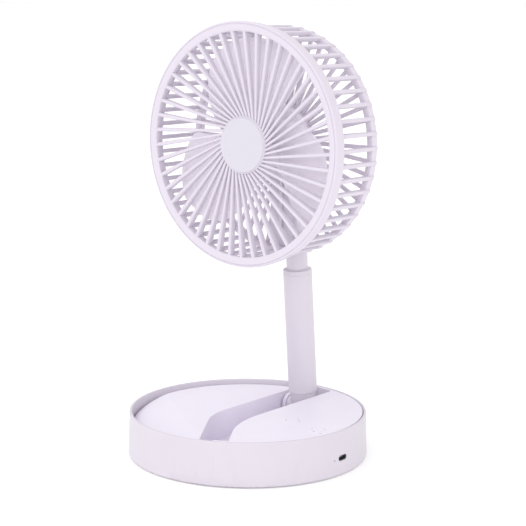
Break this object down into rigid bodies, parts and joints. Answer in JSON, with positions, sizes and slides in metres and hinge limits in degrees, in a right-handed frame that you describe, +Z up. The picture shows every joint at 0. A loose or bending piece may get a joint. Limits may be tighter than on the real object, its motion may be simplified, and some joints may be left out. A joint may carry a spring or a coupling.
{
  "type": "folding desk fan",
  "caption": "Rechargeable table fan: caged impeller on a telescopic pole that folds down into a round drum base.",
  "frame": {"origin": "centre of the round base, on the table plane under its feet", "axes": "+Z up, the fan blows towards -Y, the pole's hinge is on the +Y side, the charging socket on the +X side"},
  "size_m": [0.196, 0.196, 0.3514],
  "materials": {
    "housing": "satin moulded plastic, lavender white",
    "tray": "satin moulded plastic, lavender white",
    "grille": "satin moulded plastic, lavender white",
    "cap": "smooth moulded plastic",
    "blade": "smooth moulded plastic",
    "buttons": "satin moulded plastic",
    "lens": "smoked clear plastic",
    "rubber": "matt",
    "bush": "matt nylon",
    "steel": "zinc plated",
    "bronze": "sintered",
    "magnet": "plain",
    "cell_wrap": "shrink film",
    "black_plastic": "moulded",
    "circuit_board": "solder resist",
    "lead": "soft sheath"
  },
  "bodies": {
    "base": {"base_shell": "housing", "top_plate": "tray", "bottom_cover": "housing", "rubber_feet": "rubber", "base_screws": "steel", "battery_cells": "cell_wrap", "battery_cradle": "black_plastic", "cell_straps": "steel", "control_board": "circuit_board", "touch_switches": "black_plastic", "board_screws": "steel", "indicator_lights": "lens", "usb_socket": "steel", "charge_board": "circuit_board", "charge_light": "lens", "hinge_pin": "steel", "hinge_washers": "steel"},
    "power_button": {"power_button": "buttons"},
    "timer_button": {"timer_button": "buttons"},
    "pole": {"pole_foot": "housing", "outer_tube": "housing", "outer_bush": "bush"},
    "middle_section": {"middle_tube": "housing", "middle_slider": "bush", "middle_bush": "bush"},
    "inner_section": {"inner_tube": "housing", "inner_slider": "bush", "tilt_yoke": "housing", "coiled_lead": "lead"},
    "tilt_link": {"tilt_pin": "steel", "tilt_washers": "steel"},
    "head": {"head_bracket": "housing", "bracket_screws": "steel", "front_grille": "grille", "centre_cap": "cap", "rear_grille": "grille", "grille_screws": "steel", "motor_cover": "grille", "motor_mount": "grille", "mount_screws": "steel", "motor_can": "steel", "motor_end_bell": "black_plastic", "motor_bearings": "bronze", "motor_magnets": "magnet", "motor_screws": "steel", "motor_lead": "lead"},
    "rotor": {"impeller": "blade", "spin_cap": "blade", "motor_shaft": "steel", "armature": "magnet"}
  },
  "joints": [
    {"name": "power_press", "type": "slide", "parent": "base", "child": "power_button", "axis": [0, 0, -1], "range_m": [0, 0.0005], "stiffness_N_per_m": 400},
    {"name": "timer_press", "type": "slide", "parent": "base", "child": "timer_button", "axis": [0, 0, -1], "range_m": [0, 0.0005], "stiffness_N_per_m": 400},
    {"name": "pole_fold", "type": "hinge", "parent": "base", "child": "pole", "pos_m": [0, 0.07463, 0.023], "axis": [-1, 0, 0], "range_deg": [-71.5, 5]},
    {"name": "middle_slide", "type": "slide", "parent": "pole", "child": "middle_section", "axis": [0, -0.0898, 0.996], "range_m": [0, 0.06]},
    {"name": "inner_slide", "type": "slide", "parent": "middle_section", "child": "inner_section", "axis": [0, -0.0898, 0.996], "range_m": [0, 0.05]},
    {"name": "head_fold", "type": "hinge", "parent": "inner_section", "child": "tilt_link", "pos_m": [0, 0.06061, 0.1786], "axis": [1, 0, 0], "range_deg": [-110, 8]},
    {"name": "head_tilt", "type": "hinge", "parent": "tilt_link", "child": "head", "pos_m": [0, 0.06061, 0.1786], "axis": [1, 0, 0], "range_deg": [-60, 10]},
    {"name": "blade_spin", "type": "hinge", "parent": "head", "child": "rotor", "pos_m": [0, 0, 0.2538], "axis": [0, -1, 0], "continuous": true}
  ],
  "couplings": [
    {"joint": "head_fold", "follows": "pole_fold", "ratio": 1.5294}
  ]
}
